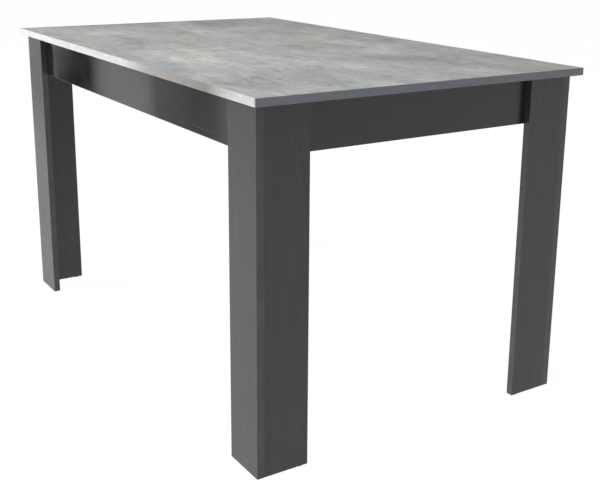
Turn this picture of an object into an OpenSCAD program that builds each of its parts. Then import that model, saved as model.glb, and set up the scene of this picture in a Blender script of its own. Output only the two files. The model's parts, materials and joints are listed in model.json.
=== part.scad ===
// Extendable dining table of laminated board.
// Two top halves run outward on steel slides, and a leaf is stored in the frame under them.
// Frame: +Z up, X along the length, Y across the width, origin on the floor under the middle.
// Left is -X, right is +X, front is -Y and rear is +Y. All sizes are in millimetres.

/* [Table] */
// Length of the closed table
table_l = 1340; // [1300:10:1500]
// Width of the table
table_w = 810; // [780:10:900]
// Height of the table
table_h = 750; // [730:5:770]
// Thickness of every laminated board
board_t = 16; // [15:0.5:18]
// Thickness of the edge bands
band_t = 1; // [0.5:0.5:2]
// Overhang of the top past the legs at each end
end_overhang = 24; // [15:1:35]
// Overhang of the top past the legs at each side
side_overhang = 14; // [8:1:25]

/* [Legs and aprons] */
// Width of the leg board that faces the long side
side_board_w = 105; // [95:1:125]
// Width of the leg's face at the end, with the side board's edge
end_face_w = 114; // [105:1:130]
// Height of the aprons
apron_h = 100; // [95:1:120]
// Height of the glides under the legs
glide_h = 2; // [1:0.5:4]
// Diameter of the glides
glide_d = 14; // [10:1:15]

/* [Extension] */
// Length that the leaf adds
leaf_l = 400; // [300:10:400]
// Gap between the two halves when they are closed
seam_gap = 0.2; // [0.2:0.1:0.6]
// Gap between the frame and the top
top_gap = 0.5; // [0.4:0.1:1]
// Length of each sliding runner
runner_l = 392; // [380:1:392]
// Diameter of the alignment dowels
dowel_d = 8; // [6:1:10]

/* [Hidden] */
$fn = 48;

// Levels
top_z = table_h - board_t;
frame_z = top_z - top_gap;
apron_z = frame_z - apron_h;

// Outer faces of the legs, then the outer and inner faces of the aprons
leg_x = table_l / 2 - end_overhang;
leg_y = table_w / 2 - side_overhang;
apron_x = leg_x - board_t;
apron_y = leg_y - board_t;
inner_x = apron_x - board_t;
inner_y = apron_y - board_t;

// Slide profile: depth is measured from the apron's inner face towards the middle
rail_h = 35;
rail_d = 12.5;
rail_t = 1.2;
lip_h = 1.7;
rail_z = frame_z - 24;
rail_half = inner_x - 9;
tab_t = 2;
runner_h = 23;
runner_d0 = 3.5;
runner_d1 = 13;
runner_x0 = 10;
cage_t = 0.8;
cage_d0 = 1.7;
cage_d1 = 10.5;
ball_r = 2.1;
ball_z = (rail_h / 2 - rail_t + runner_h / 2) / 2;
ball_d = 7;
cage_x0 = 110;
cage_l = 200;
ball_n = 7;

// Battens that hang from the top beside the runners
batten_t = board_t;
batten_y = inner_y - runner_d1 - batten_t;
batten_z = rail_z - 18.5;

// Leaf store
slat_x = 300;
slat_w = 50;
slat_z = batten_z - 1;
angle_t = 2;
angle_w = 24;
angle_leg = 30;
stop_w = 12;
stop_l = 20;
stop_gap = 1.5;

// Alignment dowels
dowel_r = dowel_d / 2;
dowel_y = 250;
dowel_in = 20;
dowel_out = 12;
dowel_play = 0.3;
dowel_tip = 1;

// Latches
latch_x = -25;
latch_y = 272;
peg_x = 20;
plate_t = 2;
lever_gap = 0.3;
lever_t = 3.2;
lever_w = 16;
tail_w = 8;
tail_l = 22;
tail_drop = 10;
peg_r = 3;
rivet_head_r = 5;
rivet_head_h = 1.2;
lever_play = 0.05;
slot_play = 0.6;
slot_from = 70;
slot_sweep = 25;
plate_half = 20;
strike_in = 12;
base_screw_off = 14;
strike_screw_x = 14;
strike_screw_y = 15;
latch_reach = peg_x - latch_x;

// Corner blocks and leg joints
block_w = 36;
block_h = 48;
block_z = apron_z + 6.5;
block_cut = 8;
leg_dowel_zs = [80, 260, 440, 600];
leg_dowel_l = 32;
leg_dowel_in = 21;
leg_glide_places = [
    [leg_x - 86, leg_y - board_t / 2], [leg_x - 14, leg_y - board_t / 2],
    [leg_x - board_t / 2, leg_y - 99]];
glide_edge = 0.6;
nail_d = 2;
nail_l = 14;

// Screws: shank diameter, head diameter and head height
screw = [4, 8, 2.4];
small_screw = [3, 6, 1.5];
rail_screw = [3.5, 7, 2];
counterbore = 10;

SIDES = [-1, 1];

// Each screw spot is [place under the head, direction, shank length]
leg_screw_spots = [for (sx = SIDES, sy = SIDES, i = [0, 1]) each [
    [[sx * (leg_x - 90), sy * inner_y, apron_z + 18.5 + 30 * i], [0, sy, 0], board_t + 12],
    [[sx * inner_x, sy * (inner_y - 59), apron_z + 21.5 + 45 * i], [sx, 0, 0], board_t + 12]]];
block_screw_spots = [for (sx = SIDES, sy = SIDES) each [
    [[sx * (inner_x - 24), sy * (inner_y - block_w), block_z + 12], [0, sy, 0], block_w + 11],
    [[sx * (inner_x - block_w), sy * (inner_y - 24), block_z + 36], [sx, 0, 0], block_w + 11]]];
rail_screw_xs = [-590, -470, -70, 0, 70, 470, 590];
rail_screw_spots = [for (x = rail_screw_xs, sy = SIDES)
    [[x, sy * (inner_y - rail_t), rail_z], [0, sy, 0], rail_t + 13]];
angle_screw_spots = [for (sx = SIDES, sy = SIDES) each [
    [[sx * slat_x, sy * (inner_y - 20), slat_z - board_t - angle_t], [0, 0, 1], angle_t + 10],
    [[sx * slat_x, sy * (inner_y - angle_t), slat_z - board_t - 20], [0, sy, 0], angle_t + 12]]];
batten_screw_spots = [for (x = [70, 250, 350], sy = SIDES)
    [[x, sy * (batten_y + batten_t / 2), batten_z + counterbore], [0, 0, 1],
    top_z - batten_z - counterbore + 10]];
runner_screw_spots = [for (x = [35, 207, 380], sy = SIDES)
    [[x, sy * (inner_y - runner_d1 + rail_t), rail_z], [0, -sy, 0], rail_t + 14]];
base_screw_spots = [for (sy = SIDES, s = SIDES)
    [[latch_x - base_screw_off * s, sy * (latch_y + base_screw_off * s), top_z - plate_t],
    [0, 0, 1], plate_t + 10]];
strike_screw_spots = [for (sy = SIDES, s = SIDES)
    [[peg_x + strike_screw_x, sy * (latch_y + strike_screw_y * s), top_z - plate_t],
    [0, 0, 1], plate_t + 10]];

// A box from its lowest to its highest corner
module box(lo, hi) translate(lo) cube(hi - lo);

// Turns +Z to a direction, at a place
module aim(place, way) translate(place) rotate([0, acos(way.z), atan2(way.y, way.x)]) children();

// Mirrors what is drawn for +X or +Y to the side asked for
module to_x(sx) mirror([sx < 0 ? 1 : 0, 0, 0]) children();
module to_y(sy) mirror([0, sy < 0 ? 1 : 0, 0]) children();

// A domed screw head with a cross recess, that stands under z = 0
module pan_head(d, h) difference() {
    intersection() {
        translate([0, 0, -h]) cylinder(d = d, h = h);
        translate([0, 0, 0.62 * d - h]) sphere(r = 0.62 * d);
    }
    for (a = [0, 90]) rotate([0, 0, a])
        box([-0.28 * d, -0.06 * d, -h - 1], [0.28 * d, 0.06 * d, -0.5 * h]);
}

// Pan-head screws at their spots, and the bores that take their shanks
module screws(spots, size) for (s = spots) aim(s[0], s[1]) {
    cylinder(d = size[0], h = s[2]);
    pan_head(size[1], size[2]);
}
module shank_bores(spots, size) for (s = spots) aim(s[0], s[1]) cylinder(d = size[0], h = s[2]);

// A dowel with chamfered tips, along +Z
module dowel(l) rotate_extrude() polygon([[0, 0], [dowel_r - dowel_tip, 0], [dowel_r, dowel_tip],
    [dowel_r, l - dowel_tip], [dowel_r - dowel_tip, l], [0, l]]);

// The spots of a list on one side of the table
function on_side(spots, axis, side) = [for (s = spots) if (s[0][axis] * side > 0) s];
function flipped(spots) = [for (s = spots)
    [[-s[0].x, s[0].y, s[0].z], [-s[1].x, s[1].y, s[1].z], s[2]]];

// Aprons: board cores with a band along the lower edge
module long_apron(sy) color("#3d3e40") difference() {
    to_y(sy) box([-apron_x, inner_y, apron_z + band_t], [apron_x, apron_y, frame_z]);
    shank_bores(on_side(leg_screw_spots, 1, sy), screw);
    shank_bores(on_side(block_screw_spots, 1, sy), screw);
    shank_bores(on_side(rail_screw_spots, 1, sy), rail_screw);
    shank_bores(on_side(angle_screw_spots, 1, sy), small_screw);
}
module end_apron(sx) color("#3d3e40") difference() {
    to_x(sx) box([inner_x, -inner_y, apron_z + band_t], [apron_x, inner_y, frame_z]);
    shank_bores(on_side(leg_screw_spots, 0, sx), screw);
    shank_bores(on_side(block_screw_spots, 0, sx), screw);
}
module apron_edge_bands() color("#454648") {
    for (sy = SIDES) to_y(sy)
        box([-apron_x, inner_y, apron_z], [apron_x, apron_y, apron_z + band_t]);
    for (sx = SIDES) to_x(sx)
        box([inner_x, -inner_y, apron_z], [apron_x, inner_y, apron_z + band_t]);
}

// Legs: a side board laps the edge of an end board, and both stand on glides
module glide_nails() for (p = leg_glide_places)
    translate([p.x, p.y, glide_h]) cylinder(d = nail_d, h = nail_l);
module leg_dowels_at_corner() for (z = leg_dowel_zs)
    aim([leg_x - board_t / 2, apron_y - leg_dowel_in, z], [0, 1, 0]) dowel(leg_dowel_l);
module leg_side_board(sx, sy) color("#4a4a4b") difference() {
    to_x(sx) to_y(sy) difference() {
        box([leg_x - side_board_w + band_t, apron_y, glide_h], [leg_x - band_t, leg_y, frame_z]);
        leg_dowels_at_corner();
        glide_nails();
    }
    shank_bores(on_side(on_side(leg_screw_spots, 1, sy), 0, sx), screw);
}
module leg_end_board(sx, sy) color("#404143") difference() {
    to_x(sx) to_y(sy) difference() {
        box([apron_x, leg_y - end_face_w + band_t, glide_h], [leg_x, apron_y, frame_z]);
        leg_dowels_at_corner();
        glide_nails();
    }
    shank_bores(on_side(on_side(leg_screw_spots, 1, sy), 0, sx), screw);
}
module leg_edge_bands() color("#505153") for (sx = SIDES, sy = SIDES) to_x(sx) to_y(sy) {
    for (x = [leg_x - side_board_w, leg_x - band_t])
        box([x, apron_y, glide_h], [x + band_t, leg_y, frame_z]);
    box([apron_x, leg_y - end_face_w, glide_h], [leg_x, leg_y - end_face_w + band_t, frame_z]);
}
module leg_dowels() color("#c9a877") for (sx = SIDES, sy = SIDES)
    to_x(sx) to_y(sy) leg_dowels_at_corner();
module glides(sx, sy) color("#2b2b2b") to_x(sx) to_y(sy) {
    for (p = leg_glide_places) translate(p) rotate_extrude()
        polygon([[0, 0], [glide_d / 2 - glide_edge, 0], [glide_d / 2, glide_edge],
            [glide_d / 2, glide_h], [0, glide_h]]);
    glide_nails();
}

// Corner blocks inside the frame, with one corner cut back
module corner_block(sx, sy) color("#c9a877") difference() {
    to_x(sx) to_y(sy) translate([inner_x, inner_y, block_z]) linear_extrude(block_h)
        polygon([[0, 0], [-block_w, 0], [-block_w, block_cut - block_w],
            [block_cut - block_w, -block_w], [0, -block_w]]);
    shank_bores(on_side(on_side(block_screw_spots, 1, sy), 0, sx), screw);
}

// Screws of the frame
module leg_screws() color("#b9bcc0") screws(leg_screw_spots, screw);
module corner_block_screws() color("#b9bcc0") screws(block_screw_spots, screw);
module rail_screws() color("#b9bcc0") screws(rail_screw_spots, rail_screw);
module slat_angle_screws() color("#b9bcc0") screws(angle_screw_spots, small_screw);

// Leaf store: two slats on steel angles, with stop blocks beside the leaf
module slat(sx) color("#c9a877") difference() {
    to_x(sx) box([slat_x - slat_w / 2, -inner_y, slat_z - board_t],
        [slat_x + slat_w / 2, inner_y, slat_z]);
    shank_bores(on_side(angle_screw_spots, 0, sx), small_screw);
}
module slat_angles() color("#b9bcc0") difference() {
    for (sx = SIDES, sy = SIDES) to_x(sx) to_y(sy)
        translate([slat_x - angle_w / 2, inner_y, slat_z - board_t]) {
            box([0, -angle_leg, -angle_t], [angle_w, 0, 0]);
            box([0, -angle_t, -angle_leg], [angle_w, 0, 0]);
        }
    shank_bores(angle_screw_spots, small_screw);
}
module leaf_stops() color("#c9a877") for (sx = SIDES, sy = SIDES) to_x(sx) to_y(sy)
    translate([slat_x - stop_l / 2, leaf_l / 2 + stop_gap, slat_z])
        cube([stop_l, stop_w, stop_w]);

// Slides: profiles are drawn for the rear side, with depth running towards -Y
module along_x(x0, x1) translate([x0, inner_y, rail_z]) rotate([90, 0, 90])
    linear_extrude(x1 - x0) mirror([1, 0]) children();
module channel(d0, d1, h) translate([d0, -h / 2]) square([d1 - d0, h]);
module rail(sy) color("#9a9da1") difference() {
    to_y(sy) {
        along_x(-rail_half, rail_half) difference() {
            channel(0, rail_d, rail_h);
            channel(rail_t, rail_d - rail_t, rail_h - 2 * rail_t);
            channel(rail_d / 2, rail_d + 1, rail_h - 2 * (rail_t + lip_h));
        }
        for (sx = SIDES) to_x(sx)
            along_x(rail_half - tab_t, rail_half) channel(rail_t, rail_d / 2, runner_h);
    }
    shank_bores(on_side(rail_screw_spots, 1, sy), rail_screw);
}
module runner(sx, sy) color("#a8abaf") to_x(sx) difference() {
    to_y(sy) along_x(runner_x0, runner_x0 + runner_l) difference() {
        channel(runner_d0, runner_d1, runner_h);
        channel(runner_d0 - 1, runner_d1 - rail_t, runner_h - 2 * rail_t);
    }
    shank_bores(on_side(runner_screw_spots, 1, sy), rail_screw);
}
module cage(sx, sy) color("#8d8f92") to_x(sx) to_y(sy) {
    along_x(cage_x0, cage_x0 + cage_l) difference() {
        channel(cage_d0, cage_d1, 2 * ball_z + cage_t);
        channel(cage_d0 + cage_t, cage_d1 + 1, 2 * ball_z - cage_t);
    }
    for (i = [0 : ball_n - 1], s = SIDES)
        translate([cage_x0 + cage_l * (i + 0.5) / ball_n, inner_y - ball_d, rail_z + s * ball_z])
            sphere(r = ball_r);
}

// Battens under the halves, with counterbored screw holes
module batten(sx, sy) color("#3d3e40") to_x(sx) difference() {
    to_y(sy) box([runner_x0, batten_y, batten_z],
        [runner_x0 + runner_l, batten_y + batten_t, top_z]);
    shank_bores(on_side(batten_screw_spots, 1, sy), screw);
    shank_bores(on_side(runner_screw_spots, 1, sy), rail_screw);
    for (s = on_side(batten_screw_spots, 1, sy))
        translate([s[0].x, s[0].y, batten_z]) cylinder(d = screw[1] + 1, h = counterbore);
}

// Top halves: laminated cores inside a ring of edge band
module at_seam_dowels() for (sy = SIDES)
    aim([0, sy * dowel_y, table_h - board_t / 2], [1, 0, 0]) children();
module seam_dowel_bores(r, depth) at_seam_dowels() cylinder(r = r, h = depth);
module half_block(inset, extra) box(
    [seam_gap / 2 + inset, inset - table_w / 2, top_z - extra],
    [table_l / 2 - inset, table_w / 2 - inset, table_h + extra]);
module panel_core() half_block(band_t, 0);
module edging_ring() difference() {
    half_block(0, 0);
    half_block(band_t, 1);
}
module left_top_panel() color("#a6a7a8") difference() {
    mirror([1, 0, 0]) panel_core();
    mirror([1, 0, 0]) seam_dowel_bores(dowel_r, dowel_in);
    shank_bores(flipped(batten_screw_spots), screw);
    shank_bores(base_screw_spots, small_screw);
}
module left_top_edging() color("#b4b4b2") difference() {
    mirror([1, 0, 0]) edging_ring();
    mirror([1, 0, 0]) seam_dowel_bores(dowel_r, dowel_in);
}
module right_top_panel() color("#a6a7a8") difference() {
    panel_core();
    seam_dowel_bores(dowel_r + dowel_play, dowel_out + 2);
    shank_bores(batten_screw_spots, screw);
    shank_bores(strike_screw_spots, small_screw);
}
module right_top_edging() color("#b4b4b2") difference() {
    edging_ring();
    seam_dowel_bores(dowel_r + dowel_play, dowel_out + 2);
}
module seam_dowels() color("#c9a877") translate([-dowel_in, 0, 0])
    at_seam_dowels() dowel(dowel_in + dowel_out);
module left_half_screws() color("#b9bcc0") {
    screws(flipped(batten_screw_spots), screw);
    screws(flipped(runner_screw_spots), rail_screw);
    screws(base_screw_spots, small_screw);
}
module right_half_screws() color("#b9bcc0") {
    screws(batten_screw_spots, screw);
    screws(runner_screw_spots, rail_screw);
    screws(strike_screw_spots, small_screw);
}

// Latches: a lever on the left half swings its slot over a peg on the right half
module latch_bases() color("#8d8f92") difference() {
    for (sy = SIDES) translate([latch_x, sy * latch_y, top_z]) {
        box([-plate_half, -plate_half, -plate_t], [plate_half, plate_half, 0]);
        translate([0, 0, -plate_t - lever_t - 2 * lever_gap])
            cylinder(r = peg_r, h = plate_t + lever_t + 2 * lever_gap);
        translate([0, 0, -plate_t - lever_t - 2 * lever_gap - rivet_head_h])
            cylinder(r = rivet_head_r, h = rivet_head_h);
    }
    shank_bores(base_screw_spots, small_screw);
}
module latch_strikes() color("#8d8f92") difference() {
    for (sy = SIDES) translate([peg_x, sy * latch_y, top_z]) {
        box([-strike_in, -plate_half, -plate_t], [plate_half, plate_half, 0]);
        translate([0, 0, -plate_t - lever_t - 1]) cylinder(r = peg_r, h = plate_t + lever_t + 1);
    }
    shank_bores(strike_screw_spots, small_screw);
}
// Drawn for the rear: the arm points to +Y, and its slot opens on the +X side
module latch_lever(sy) color("#2b2b2b") to_y(sy)
    translate([latch_x, latch_y, top_z - plate_t - lever_gap - lever_t]) difference() {
        union() {
            box([-lever_w / 2, 0, 0], [lever_w / 2, latch_reach + 8, lever_t]);
            cylinder(d = lever_w, h = lever_t);
            box([-tail_w / 2, -tail_l, 0], [tail_w / 2, 0, lever_t]);
            box([-tail_w / 2, -tail_l, -tail_drop], [tail_w / 2, lever_t - tail_l, lever_t]);
        }
        translate([0, 0, -1]) cylinder(r = peg_r + lever_play, h = lever_t + 2);
        translate([0, 0, -1]) rotate([0, 0, slot_from]) rotate_extrude(angle = slot_sweep)
            translate([latch_reach - peg_r - slot_play, 0])
                square([2 * (peg_r + slot_play), lever_t + 2]);
    }

// Extension leaf, stored with its long side along X
module leaf_block(inset, extra) box(
    [inset - table_w / 2, inset - leaf_l / 2, slat_z - extra],
    [table_w / 2 - inset, leaf_l / 2 - inset, slat_z + board_t + extra]);
module leaf_bores(sy, r, depth) for (sx = SIDES)
    aim([sx * dowel_y, sy * leaf_l / 2, slat_z + board_t / 2], [0, -sy, 0])
        translate([0, 0, -1]) cylinder(r = r, h = depth + 1);
module leaf_drilled() difference() {
    children();
    leaf_bores(1, dowel_r, dowel_in);
    leaf_bores(-1, dowel_r + dowel_play, dowel_out + 2);
}
module extension_leaf() color("#a6a7a8") leaf_drilled() leaf_block(band_t, 0);
module leaf_edging() color("#b4b4b2") leaf_drilled() difference() {
    leaf_block(0, 0);
    leaf_block(band_t, 1);
}
module leaf_dowels() color("#c9a877") for (sx = SIDES)
    aim([sx * dowel_y, leaf_l / 2 - dowel_in, slat_z + board_t / 2], [0, 1, 0])
        dowel(dowel_in + dowel_out);

long_apron(-1);  // front_apron
long_apron(1);  // rear_apron
end_apron(-1);  // left_end_apron
end_apron(1);  // right_end_apron
apron_edge_bands();
leg_side_board(-1, -1);  // front_left_leg_side_board
leg_end_board(-1, -1);  // front_left_leg_end_board
leg_side_board(1, -1);  // front_right_leg_side_board
leg_end_board(1, -1);  // front_right_leg_end_board
leg_side_board(-1, 1);  // rear_left_leg_side_board
leg_end_board(-1, 1);  // rear_left_leg_end_board
leg_side_board(1, 1);  // rear_right_leg_side_board
leg_end_board(1, 1);  // rear_right_leg_end_board
leg_edge_bands();
leg_dowels();
glides(-1, -1);  // front_left_glides
glides(1, -1);  // front_right_glides
glides(-1, 1);  // rear_left_glides
glides(1, 1);  // rear_right_glides
corner_block(-1, -1);  // front_left_corner_block
corner_block(1, -1);  // front_right_corner_block
corner_block(-1, 1);  // rear_left_corner_block
corner_block(1, 1);  // rear_right_corner_block
leg_screws();
corner_block_screws();
rail_screws();
slat_angle_screws();
slat(-1);  // left_slat
slat(1);  // right_slat
slat_angles();
leaf_stops();
rail(-1);  // front_rail
rail(1);  // rear_rail
left_top_panel();
left_top_edging();
batten(-1, -1);  // left_front_batten
batten(-1, 1);  // left_rear_batten
runner(-1, -1);  // left_front_runner
runner(-1, 1);  // left_rear_runner
left_half_screws();
seam_dowels();
latch_bases();
right_top_panel();
right_top_edging();
batten(1, -1);  // right_front_batten
batten(1, 1);  // right_rear_batten
runner(1, -1);  // right_front_runner
runner(1, 1);  // right_rear_runner
right_half_screws();
latch_strikes();
cage(-1, -1);  // left_front_cage
cage(-1, 1);  // left_rear_cage
cage(1, -1);  // right_front_cage
cage(1, 1);  // right_rear_cage
extension_leaf();
leaf_edging();
leaf_dowels();
latch_lever(-1);  // front_latch_lever
latch_lever(1);  // rear_latch_lever
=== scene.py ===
# Extendable dining table: materials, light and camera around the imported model.
# Lengths are in metres and angles in degrees, in the model's own frame.
import json
import math

import bpy
from mathutils import Matrix, Vector


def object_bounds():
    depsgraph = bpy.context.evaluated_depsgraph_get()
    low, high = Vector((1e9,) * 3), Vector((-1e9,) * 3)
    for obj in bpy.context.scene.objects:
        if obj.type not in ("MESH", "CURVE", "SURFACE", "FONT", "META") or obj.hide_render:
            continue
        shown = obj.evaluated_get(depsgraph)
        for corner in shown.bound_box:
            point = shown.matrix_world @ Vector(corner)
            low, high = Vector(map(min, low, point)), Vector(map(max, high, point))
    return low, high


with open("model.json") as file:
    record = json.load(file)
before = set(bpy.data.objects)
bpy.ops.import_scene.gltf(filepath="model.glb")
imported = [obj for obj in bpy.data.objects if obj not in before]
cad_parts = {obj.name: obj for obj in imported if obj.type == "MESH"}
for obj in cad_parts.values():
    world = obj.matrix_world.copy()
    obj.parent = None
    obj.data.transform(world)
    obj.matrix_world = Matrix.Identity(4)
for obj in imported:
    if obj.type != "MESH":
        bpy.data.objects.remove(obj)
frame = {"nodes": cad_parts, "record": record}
nodes = frame["nodes"]
cad_low, cad_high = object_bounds()

# Camera
CAMERA_PLACE = (2.123, -1.225, 1.035)
CAMERA_AZIMUTH = 56.4
CAMERA_ELEVATION = 14.4
CAMERA_ROLL = 0.77
CAMERA_LENS = 59.0
CAMERA_SHIFT = (-0.0417, -0.1125)

# Studio
FLOOR_SIZE = 60.0
FLOOR_GLOW = 0.97
WORLD_LIGHT = 0.3

# The concrete print's streaks change faster across the table than along it
STREAKS = (1, 2.6, 1)

# Growth rings swing between light and dark over this many radians as their noise goes from 0 to 1
RING_RADIANS = 60

# The cards seen in reflections stand square to this place
FLAG_FACES = (2.12, 0.475)

# Edges are broken by this much, on boards and on small parts, where faces turn by more than the angle
BOARD_EDGE = 0.0004
SMALL_EDGE = 0.00025
EDGE_ANGLE = 40


def socket_value(node, name, value):
    node.inputs[name].default_value = value


def new_material(name):
    """A node material, its tree and its shader."""
    material = bpy.data.materials.new(name)
    material.use_nodes = True
    tree = material.node_tree
    return material, tree, tree.nodes["Principled BSDF"]


def place(tree, scale=(1, 1, 1), offset=(0, 0, 0)):
    """Object coordinates in metres, multiplied by scale and then moved by offset."""
    coordinates = tree.nodes.new("ShaderNodeTexCoord")
    mapping = tree.nodes.new("ShaderNodeMapping")
    socket_value(mapping, "Scale", scale)
    socket_value(mapping, "Location", offset)
    tree.links.new(coordinates.outputs["Object"], mapping.inputs["Vector"])
    return mapping.outputs["Vector"]


def noise(tree, vector, scale, detail=4, roughness=0.55, distortion=0.0):
    """Cloudy noise, from 0 to 1. Scale is in features per metre."""
    texture = tree.nodes.new("ShaderNodeTexNoise")
    socket_value(texture, "Scale", scale)
    socket_value(texture, "Detail", detail)
    socket_value(texture, "Roughness", roughness)
    socket_value(texture, "Distortion", distortion)
    tree.links.new(vector, texture.inputs["Vector"])
    return texture.outputs["Fac"]


def cells(tree, vector, scale):
    """Distance to the nearest of scattered points."""
    texture = tree.nodes.new("ShaderNodeTexVoronoi")
    socket_value(texture, "Scale", scale)
    tree.links.new(vector, texture.inputs["Vector"])
    return texture.outputs["Distance"]


def spread(tree, value, low, high, to_low=0.0, to_high=1.0):
    """Stretches the part of a value between low and high to a new range."""
    node = tree.nodes.new("ShaderNodeMapRange")
    socket_value(node, "From Min", low)
    socket_value(node, "From Max", high)
    socket_value(node, "To Min", to_low)
    socket_value(node, "To Max", to_high)
    tree.links.new(value, node.inputs["Value"])
    return node.outputs["Result"]


def combine(tree, operation, first, second=0.0):
    """Arithmetic on one or two values. The second may be a number."""
    node = tree.nodes.new("ShaderNodeMath")
    node.operation = operation
    tree.links.new(first, node.inputs[0])
    if isinstance(second, (int, float)):
        node.inputs[1].default_value = second
    else:
        tree.links.new(second, node.inputs[1])
    return node.outputs[0]


def colours(tree, value, stops):
    """A colour ramp. Each stop is (position, colour)."""
    ramp = tree.nodes.new("ShaderNodeValToRGB")
    points = ramp.color_ramp.elements
    while len(points) < len(stops):
        points.new(0.5)
    for point, (position, colour) in zip(points, stops):
        point.position = position
        point.color = (*colour, 1)
    tree.links.new(value, ramp.inputs["Fac"])
    return ramp.outputs["Color"]


def blend_colours(tree, amount, first, second, kind="MIX"):
    """Mixes two colours. Amount and second may be constants."""
    node = tree.nodes.new("ShaderNodeMix")
    node.data_type = "RGBA"
    node.blend_type = kind
    if isinstance(amount, (int, float)):
        node.inputs[0].default_value = amount
    else:
        tree.links.new(amount, node.inputs[0])
    tree.links.new(first, node.inputs[6])
    if isinstance(second, tuple):
        node.inputs[7].default_value = (*second, 1)
    else:
        tree.links.new(second, node.inputs[7])
    return node.outputs[2]


def relief(tree, shader, height, depth, strength=1.0):
    """Bump from a height of 0 to 1, over a depth in metres."""
    bump = tree.nodes.new("ShaderNodeBump")
    socket_value(bump, "Strength", strength)
    socket_value(bump, "Distance", depth)
    tree.links.new(height, bump.inputs["Height"])
    tree.links.new(bump.outputs["Normal"], shader.inputs["Normal"])


def grey(level, red=0.0, blue=0.0):
    """A grey of that linear level, with a little more red or blue."""
    return (level * (1 + red), level, level * (1 + blue))


def concrete_laminate():
    """Matt laminate with a concrete print: clouds, trowelled streaks, colour stains, grains and pores."""
    material, tree, shader = new_material("concrete_laminate")
    flat = place(tree)
    clouds = noise(tree, place(tree, offset=(2.2, 4.6, 0)), 3.2, detail=3, roughness=0.5, distortion=0.5)
    streaks = noise(tree, place(tree, STREAKS, (3.1, 1.7, 0)), 5, detail=6, roughness=0.68, distortion=0.5)
    fine_place = place(tree, tuple(4 * s for s in STREAKS), (0.4, 2.2, 0))
    fine_streaks = noise(tree, fine_place, 6, detail=5, roughness=0.7, distortion=0.3)
    mottle = noise(tree, flat, 55, detail=5, roughness=0.7)
    grain = noise(tree, flat, 260, detail=3, roughness=0.75)
    tone = combine(tree, "MULTIPLY", clouds, 0.26)
    for layer, share in ((streaks, 0.26), (fine_streaks, 0.22), (mottle, 0.14), (grain, 0.12)):
        tone = combine(tree, "ADD", tone, combine(tree, "MULTIPLY", layer, share))
    base = colours(tree, spread(tree, tone, 0.38, 0.62), [
        (0.0, grey(0.18, -0.02, 0.03)), (0.35, grey(0.3, 0.0, 0.01)),
        (0.65, grey(0.41, 0.0, -0.02)), (1.0, grey(0.56, 0.01, -0.02))])
    for offset, low, high, stain in (
            ((7.3, 5.1, 0), 0.49, 0.62, (1.02, 1.0, 0.93)),
            ((1.9, 8.4, 0), 0.48, 0.6, (0.93, 0.99, 0.985)),
            ((4.7, 2.6, 0), 0.53, 0.66, (0.99, 0.95, 1.0))):
        blotches = noise(tree, place(tree, (1, 1.4, 1), offset), 5, roughness=0.6, distortion=0.5)
        amount = spread(tree, blotches, low, high)
        base = blend_colours(tree, combine(tree, "MULTIPLY", amount, 0.8), base, stain, "MULTIPLY")
    pores = spread(tree, cells(tree, flat, 95), 0.12, 0.05)
    where = spread(tree, noise(tree, flat, 22, detail=2), 0.52, 0.6)
    pores = combine(tree, "MULTIPLY", combine(tree, "MULTIPLY", pores, where), 0.35)
    base = blend_colours(tree, pores, base, (0.5, 0.5, 0.5), "MULTIPLY")
    tree.links.new(base, shader.inputs["Base Color"])
    sheen = spread(tree, combine(tree, "ADD", streaks, combine(tree, "MULTIPLY", mottle, 0.5)),
        0.5, 1.0, 0.36, 0.5)
    tree.links.new(sheen, shader.inputs["Roughness"])
    relief(tree, shader, combine(tree, "ADD", grain, mottle), depth=0.00006, strength=0.6)
    return material


def top_band():
    """Satin edge band with a printed tone under painted shade: a painted shadow darkens it along part of
    X, and the ends are darker and bluer as painted shade.
    """
    material, tree, shader = new_material("top_band")
    print_tone = noise(tree, place(tree, (1, 1, 4)), 30, detail=5, roughness=0.65, distortion=0.4)
    speckle = noise(tree, place(tree), 500, detail=2, roughness=0.7)
    tone = combine(tree, "ADD", combine(tree, "MULTIPLY", print_tone, 0.7),
        combine(tree, "MULTIPLY", speckle, 0.3))
    shade = colours(tree, spread(tree, tone, 0.35, 0.65), [
        (0.0, grey(0.84)), (0.5, grey(1.0)), (1.0, grey(1.14))])
    axes = tree.nodes.new("ShaderNodeSeparateXYZ")
    tree.links.new(place(tree), axes.inputs["Vector"])
    along = spread(tree, axes.outputs["X"], cad_low.x, cad_high.x)
    # Painted shade for the band's ends: darker and bluer than the lit long sides.
    shaded_end_colour = grey(0.25, -0.07, 0.14)
    pale = grey(0.74)
    # Painted light along X: pale where lit, a painted shadow from about 0.66 to 0.86 of the length, and
    # painted shade on the ends.
    painted_shade_colour = colours(tree, along, [
        (0.0005, shaded_end_colour), (0.002, pale), (0.55, grey(0.7, 0.02, -0.02)),
        (0.66, grey(0.36, 0.05, -0.05)), (0.86, grey(0.24, 0.06, -0.07)),
        (0.94, grey(0.66, 0.02, -0.02)), (0.998, pale), (0.9995, shaded_end_colour)])
    base = blend_colours(tree, 1.0, painted_shade_colour, shade, "MULTIPLY")
    tree.links.new(base, shader.inputs["Base Color"])
    tree.links.new(spread(tree, print_tone, 0.3, 0.7, 0.3, 0.4), shader.inputs["Roughness"])
    relief(tree, shader, speckle, depth=0.00003, strength=0.5)
    return material


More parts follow.
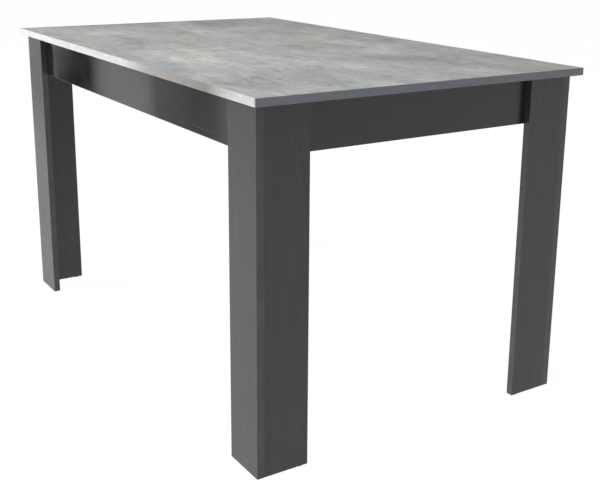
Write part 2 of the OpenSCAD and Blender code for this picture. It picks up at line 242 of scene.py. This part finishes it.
def anthracite(name, stretch, level, rough):
    """Satin anthracite laminate with a fine pressed grain, which stretch squeezes across its length."""
    material, tree, shader = new_material(name)
    threads = noise(tree, place(tree, stretch), 9, detail=6, roughness=0.7, distortion=0.1)
    fine_place = place(tree, tuple(5 * s for s in stretch), (2.1, 0.7, 1.3))
    fibres = noise(tree, fine_place, 9, detail=4, roughness=0.7)
    clouds = noise(tree, place(tree), 7, detail=3, roughness=0.5)
    tone = combine(tree, "ADD", combine(tree, "MULTIPLY", threads, 0.5),
        combine(tree, "MULTIPLY", fibres, 0.3))
    tone = combine(tree, "ADD", tone, combine(tree, "MULTIPLY", clouds, 0.2))
    base = colours(tree, spread(tree, tone, 0.36, 0.64), [
        (0.0, grey(level * 0.66, 0.0, 0.03)), (0.5, grey(level)),
        (1.0, grey(level * 1.4, 0.02, -0.01))])
    tree.links.new(base, shader.inputs["Base Color"])
    tree.links.new(spread(tree, clouds, 0.3, 0.7, rough, rough + 0.07), shader.inputs["Roughness"])
    relief(tree, shader, combine(tree, "ADD", threads, fibres), depth=0.00002, strength=0.35)
    return material


def wood(name, light, dark, stretch, ring_scale):
    """Planed wood: bands of early and late growth, short pores and a dry surface."""
    material, tree, shader = new_material(name)
    rings = noise(tree, place(tree, stretch), ring_scale, detail=3, roughness=0.5, distortion=1.2)
    waves = combine(tree, "SINE", combine(tree, "MULTIPLY", rings, RING_RADIANS))
    pores = noise(tree, place(tree, tuple(8 * s for s in stretch)), ring_scale, detail=5, roughness=0.75)
    tone = combine(tree, "ADD", spread(tree, waves, -1, 1, 0.25, 0.6),
        combine(tree, "MULTIPLY", pores, 0.35))
    base = colours(tree, spread(tree, tone, 0.3, 0.85), [(0.0, dark), (1.0, light)])
    tree.links.new(base, shader.inputs["Base Color"])
    tree.links.new(spread(tree, pores, 0.3, 0.7, 0.5, 0.68), shader.inputs["Roughness"])
    relief(tree, shader, tone, depth=0.0001, strength=0.5)
    return material


def steel(name, level, rough, stretch, spots):
    """Plated steel: drawing marks along the part, and the cloudy bloom of the plating."""
    material, tree, shader = new_material(name)
    socket_value(shader, "Metallic", 1.0)
    marks = noise(tree, place(tree, stretch), 60, detail=5, roughness=0.7)
    bloom = noise(tree, place(tree), spots, detail=4, roughness=0.6, distortion=0.5)
    tone = combine(tree, "ADD", combine(tree, "MULTIPLY", marks, 0.4),
        combine(tree, "MULTIPLY", bloom, 0.6))
    base = colours(tree, spread(tree, tone, 0.35, 0.65), [
        (0.0, grey(level * 0.8, 0.0, 0.04)), (0.6, grey(level)),
        (1.0, grey(level * 1.1, 0.03, -0.03))])
    tree.links.new(base, shader.inputs["Base Color"])
    tree.links.new(spread(tree, tone, 0.35, 0.65, rough + 0.12, rough), shader.inputs["Roughness"])
    relief(tree, shader, marks, depth=0.00003, strength=0.5)
    return material


def moulded_plastic():
    """Black moulded plastic with a fine spark-eroded texture."""
    material, tree, shader = new_material("glide_plastic")
    texture = noise(tree, place(tree), 900, detail=3, roughness=0.6)
    wear = noise(tree, place(tree), 60, detail=4, roughness=0.6)
    base = colours(tree, spread(tree, wear, 0.35, 0.7), [(0.0, grey(0.018)), (1.0, grey(0.04))])
    tree.links.new(base, shader.inputs["Base Color"])
    tree.links.new(spread(tree, wear, 0.3, 0.7, 0.42, 0.58), shader.inputs["Roughness"])
    relief(tree, shader, texture, depth=0.00008, strength=0.6)
    return material


def powder_coat():
    """Black powder coat with its orange-peel surface, over pressed steel."""
    material, tree, shader = new_material("latch_plastic")
    peel = noise(tree, place(tree), 700, detail=2, roughness=0.5)
    dust = noise(tree, place(tree), 90, detail=4, roughness=0.65)
    base = colours(tree, spread(tree, dust, 0.35, 0.7), [(0.0, grey(0.016)), (1.0, grey(0.028))])
    tree.links.new(base, shader.inputs["Base Color"])
    tree.links.new(spread(tree, dust, 0.3, 0.7, 0.28, 0.4), shader.inputs["Roughness"])
    socket_value(shader, "Coat Weight", 0.3)
    socket_value(shader, "Coat Roughness", 0.25)
    relief(tree, shader, peel, depth=0.00006, strength=0.6)
    return material


# Stretches for a board's grain along Z, X and Y
UPRIGHT = (14, 14, 1)
LENGTHWISE = (1, 14, 14)
CROSSWISE = (14, 1, 14)

# The end aprons share the long ones' slot, but are lighter and duller; the long aprons' darker level is
# painted shade under the top.
end_aprons_less_shaded = anthracite("end_apron_less_shaded", stretch=CROSSWISE, level=0.026, rough=0.24)
pale_wood, dark_wood = (0.62, 0.44, 0.25), (0.46, 0.29, 0.14)
FINISHES = {
    "concrete_laminate": concrete_laminate(),
    "top_band": top_band(),
    "leg_board": anthracite("leg_board", stretch=UPRIGHT, level=0.047, rough=0.3),
    # Painted shade: the long aprons are the legs' anthracite at a far darker level, for the shade under
    # the top.
    "apron_board": anthracite("apron_board", stretch=LENGTHWISE, level=0.01, rough=0.08),
    "anthracite_band": anthracite("anthracite_band", stretch=(2, 2, 2), level=0.078, rough=0.24),
    "glide_plastic": moulded_plastic(),
    "raw_wood": wood("raw_wood", pale_wood, dark_wood, stretch=(9, 1, 9), ring_scale=5),
    "dowel_wood": wood("dowel_wood", (0.6, 0.4, 0.22), (0.48, 0.29, 0.15), stretch=(6, 6, 1),
        ring_scale=30),
    "zinc_screw": steel("zinc_screw", level=0.66, rough=0.26, stretch=(1, 1, 1), spots=90),
    "zinc_plate": steel("zinc_plate", level=0.56, rough=0.3, stretch=(1, 6, 6), spots=40),
    "rail_steel": steel("rail_steel", level=0.5, rough=0.3, stretch=(1, 20, 20), spots=22),
    "cage_steel": steel("cage_steel", level=0.42, rough=0.34, stretch=(1, 8, 8), spots=50),
    "latch_plastic": powder_coat(),
}


def finish_nodes():
    """Gives every CAD node its material and breaks its sharp edges."""
    slot_of = {part["node"]: part["material_slot"] for part in frame["record"]["subparts"]}
    board_slots = ("concrete_laminate", "top_band", "leg_board", "apron_board", "anthracite_band",
        "raw_wood")
    for name, node in nodes.items():
        slot = slot_of[name]
        material = end_aprons_less_shaded if name.endswith("end_apron") else FINISHES[slot]
        node.data.materials.clear()
        node.data.materials.append(material)
        bevel = node.modifiers.new("broken_edges", "BEVEL")
        bevel.width = BOARD_EDGE if slot in board_slots else SMALL_EDGE
        bevel.segments = 2
        bevel.limit_method = "ANGLE"
        bevel.angle_limit = math.radians(EDGE_ANGLE)
        bevel.harden_normals = False


def make_floor():
    """A white studio floor that glows enough to leave no shadow or horizon."""
    material, tree, shader = new_material("studio_floor")
    tint = noise(tree, place(tree), 0.6, detail=2)
    base = colours(tree, tint, [(0.0, grey(0.06)), (1.0, grey(0.08))])
    tree.links.new(base, shader.inputs["Base Color"])
    socket_value(shader, "Roughness", 1.0)
    socket_value(shader, "Specular IOR Level", 0.0)
    socket_value(shader, "Emission Color", (1, 1, 1, 1))
    socket_value(shader, "Emission Strength", FLOOR_GLOW)
    bpy.ops.mesh.primitive_plane_add(size=FLOOR_SIZE, location=(0, 0, 0))
    floor = bpy.context.object
    floor.name = "floor"
    floor.data.materials.append(material)
    floor.visible_diffuse = False


def flag(name, middle, width, height, level):
    """An upright card beside the set that glows by level and is only seen in reflections."""
    material, _, shader = new_material(name)
    socket_value(shader, "Base Color", (0, 0, 0, 1))
    socket_value(shader, "Specular IOR Level", 0.0)
    socket_value(shader, "Emission Color", (1, 1, 1, 1))
    socket_value(shader, "Emission Strength", level)
    bpy.ops.mesh.primitive_plane_add(size=1, location=middle)
    card = bpy.context.object
    card.name = name
    card.scale = (width, height, 1)
    away = Vector((middle[0] - FLAG_FACES[0], middle[1] - FLAG_FACES[1], 0))
    card.rotation_euler = away.to_track_quat("Z", "Y").to_euler()
    card.data.materials.append(material)
    card.visible_camera = False
    card.visible_diffuse = False
    card.visible_shadow = False


def softbox(name, place_at, aim_at, width, height, power, mirrored=True):
    """A soft area light, turned towards a point. Mirrored says if it shows in reflections."""
    data = bpy.data.lights.new(name, "AREA")
    data.shape = "RECTANGLE"
    data.size = width
    data.size_y = height
    data.energy = power
    light = bpy.data.objects.new(name, data)
    bpy.context.scene.collection.objects.link(light)
    light.location = place_at
    way = Vector(aim_at) - Vector(place_at)
    light.rotation_euler = way.to_track_quat("-Z", "Y").to_euler()
    light.visible_camera = False
    light.visible_glossy = mirrored


def make_light():
    """A dim world, a large softbox in front to the left, a small one overhead, and two cards to mirror."""
    world = bpy.data.worlds.new("studio")
    bpy.context.scene.world = world
    world.use_nodes = True
    tree = world.node_tree
    background = tree.nodes["Background"]
    path = tree.nodes.new("ShaderNodeLightPath")
    strength = spread(tree, path.outputs["Is Camera Ray"], 0, 1, WORLD_LIGHT, 1.0)
    tree.links.new(strength, background.inputs["Strength"])
    socket_value(background, "Color", (1, 1, 1, 1))
    flag("dark_flag", middle=(-1.654, -0.839, 0.4375), width=0.164, height=0.275, level=0.0)
    flag("grey_flag", middle=(-1.487, -1.247, 0.3), width=0.28, height=0.6, level=0.35)
    softbox("left_box", place_at=(-2.6, -3.4, 2.0), aim_at=(0, -0.3, 0.4), width=3.6, height=3.0,
        power=210, mirrored=False)
    softbox("overhead_box", place_at=(0.5, -0.55, 2.3), aim_at=(0.4, -0.3, 0.7), width=1.7, height=1.5,
        power=27)


def make_camera():
    """A camera that looks from the front right corner, a little down."""
    data = bpy.data.cameras.new("camera")
    data.lens = CAMERA_LENS
    data.sensor_width = 36
    data.shift_x, data.shift_y = CAMERA_SHIFT
    camera = bpy.data.objects.new("camera", data)
    bpy.context.scene.collection.objects.link(camera)
    turn = Matrix.Rotation(math.radians(CAMERA_AZIMUTH), 4, "Z")
    tilt = Matrix.Rotation(math.radians(90 - CAMERA_ELEVATION), 4, "X")
    roll = Matrix.Rotation(math.radians(CAMERA_ROLL), 4, "Z")
    camera.matrix_world = Matrix.Translation(CAMERA_PLACE) @ turn @ tilt @ roll
    bpy.context.scene.camera = camera


make_camera()
finish_nodes()
make_floor()
make_light()
bpy.context.scene.view_settings.view_transform = "Standard"
